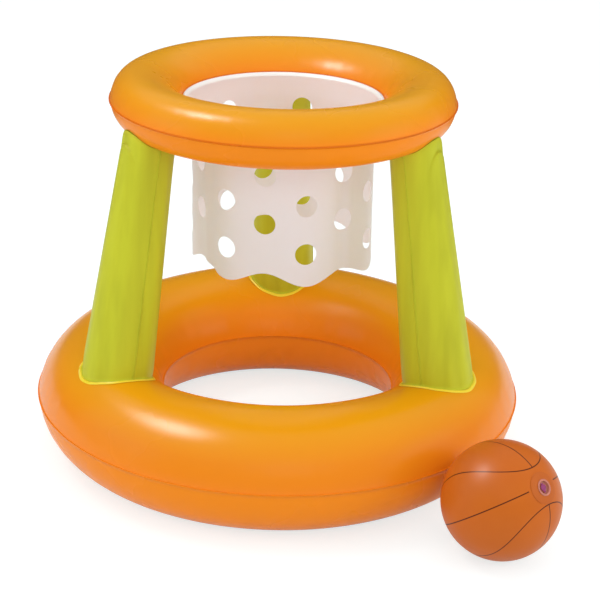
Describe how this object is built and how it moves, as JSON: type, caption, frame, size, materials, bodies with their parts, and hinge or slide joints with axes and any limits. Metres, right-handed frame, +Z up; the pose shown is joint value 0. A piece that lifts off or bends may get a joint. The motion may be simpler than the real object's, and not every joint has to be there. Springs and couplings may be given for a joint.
{
  "type": "floating basketball hoop",
  "caption": "Inflatable ring on which upright inflated legs hold a smaller ring as a rim, with a perforated net under it, push-in valves and a loose inflatable ball beside it.",
  "frame": {"origin": "on the floor, at the middle of the bounding box of the hoop with its ball", "axes": "+Z up, +Y away from the side between the left and right legs, +X to the right, towards the ball"},
  "size_m": [0.6925, 0.7275, 0.5321],
  "materials": {
    "orange_vinyl": "smooth glossy orange vinyl film, held taut by air",
    "lime_vinyl": "smooth glossy lime green vinyl film, held taut by air",
    "frosted_vinyl": "limp frosted white vinyl film, slightly translucent",
    "ball_vinyl": "satin brown-orange vinyl film with printed dark brown lines",
    "clear_valve": "soft clear vinyl moulding",
    "violet_stopper": "soft translucent violet vinyl moulding"
  },
  "bodies": {
    "hoop": {"base_ring_upper_sheet": "orange_vinyl", "base_ring_lower_sheet": "orange_vinyl", "rim_upper_sheet": "orange_vinyl", "rim_lower_sheet": "orange_vinyl", "back_leg_outer_sheet": "lime_vinyl", "back_leg_inner_sheet": "lime_vinyl", "back_leg_foot_disc": "lime_vinyl", "back_leg_head_disc": "lime_vinyl", "left_leg_outer_sheet": "lime_vinyl", "left_leg_inner_sheet": "lime_vinyl", "left_leg_foot_disc": "lime_vinyl", "left_leg_head_disc": "lime_vinyl", "right_leg_outer_sheet": "lime_vinyl", "right_leg_inner_sheet": "lime_vinyl", "right_leg_foot_disc": "lime_vinyl", "right_leg_head_disc": "lime_vinyl", "net_sheet": "frosted_vinyl", "net_weld_band": "frosted_vinyl", "base_valve_cup": "clear_valve", "frame_valve_cup": "clear_valve"},
    "base_stem": {"base_valve_stem": "clear_valve"},
    "base_stopper": {"base_valve_stopper": "violet_stopper"},
    "base_flap": {"base_check_flap": "clear_valve"},
    "frame_stem": {"frame_valve_stem": "clear_valve"},
    "frame_stopper": {"frame_valve_stopper": "violet_stopper"},
    "frame_flap": {"frame_check_flap": "clear_valve"},
    "ball": {"ball_gore_1": "ball_vinyl", "ball_gore_2": "ball_vinyl", "ball_gore_3": "ball_vinyl", "ball_gore_4": "ball_vinyl", "ball_gore_5": "ball_vinyl", "ball_gore_6": "ball_vinyl", "ball_valve_disc": "ball_vinyl", "ball_far_disc": "ball_vinyl", "ball_valve_cup": "clear_valve"},
    "ball_stem": {"ball_valve_stem": "clear_valve"},
    "ball_stopper": {"ball_valve_stopper": "violet_stopper"},
    "ball_flap": {"ball_check_flap": "clear_valve"}
  },
  "joints": [
    {"name": "base_stem_slide", "type": "slide", "parent": "hoop", "child": "base_stem", "axis": [0.4241, 0.6347, 0.646], "range_m": [0, 0.01]},
    {"name": "base_stopper_hinge", "type": "hinge", "parent": "base_stem", "child": "base_stopper", "pos_m": [0.15658, 0.29088, 0.12263], "axis": [-0.3589, -0.5371, 0.7633], "range_deg": [0, 90]},
    {"name": "base_flap_hinge", "type": "hinge", "parent": "base_stem", "child": "base_flap", "pos_m": [0.15141, 0.27809, 0.1112], "axis": [0.3589, 0.5371, -0.7633], "range_deg": [0, 60], "stiffness_Nm_per_rad": 0.00002, "springref_deg": -11.46},
    {"name": "frame_stem_slide", "type": "slide", "parent": "hoop", "child": "frame_stem", "axis": [0.5307, 0.7942, 0.296], "range_m": [0, 0.01]},
    {"name": "frame_stopper_hinge", "type": "hinge", "parent": "frame_stem", "child": "frame_stopper", "pos_m": [0.10753, 0.21747, 0.50702], "axis": [-0.1644, -0.2461, 0.9552], "range_deg": [0, 90]},
    {"name": "frame_flap_hinge", "type": "hinge", "parent": "frame_stem", "child": "frame_flap", "pos_m": [0.10047, 0.20186, 0.50178], "axis": [0.1644, 0.2461, -0.9552], "range_deg": [0, 60], "stiffness_Nm_per_rad": 0.00002, "springref_deg": -11.46},
    {"name": "ball_lift", "type": "slide", "parent": "hoop", "child": "ball", "axis": [0, 0, 1], "range_m": [0, 0.6]},
    {"name": "ball_stem_slide", "type": "slide", "parent": "ball", "child": "ball_stem", "axis": [0.5783, -0.5885, 0.565], "range_m": [0, 0.01]},
    {"name": "ball_stopper_hinge", "type": "hinge", "parent": "ball_stem", "child": "ball_stopper", "pos_m": [0.31586, -0.33413, 0.11242], "axis": [0.7133, 0.7009, 0], "range_deg": [0, 90]},
    {"name": "ball_flap_hinge", "type": "hinge", "parent": "ball_stem", "child": "ball_flap", "pos_m": [0.30451, -0.32259, 0.10473], "axis": [-0.7133, -0.7009, 0], "range_deg": [0, 60], "stiffness_Nm_per_rad": 0.00002, "springref_deg": -11.46}
  ]
}
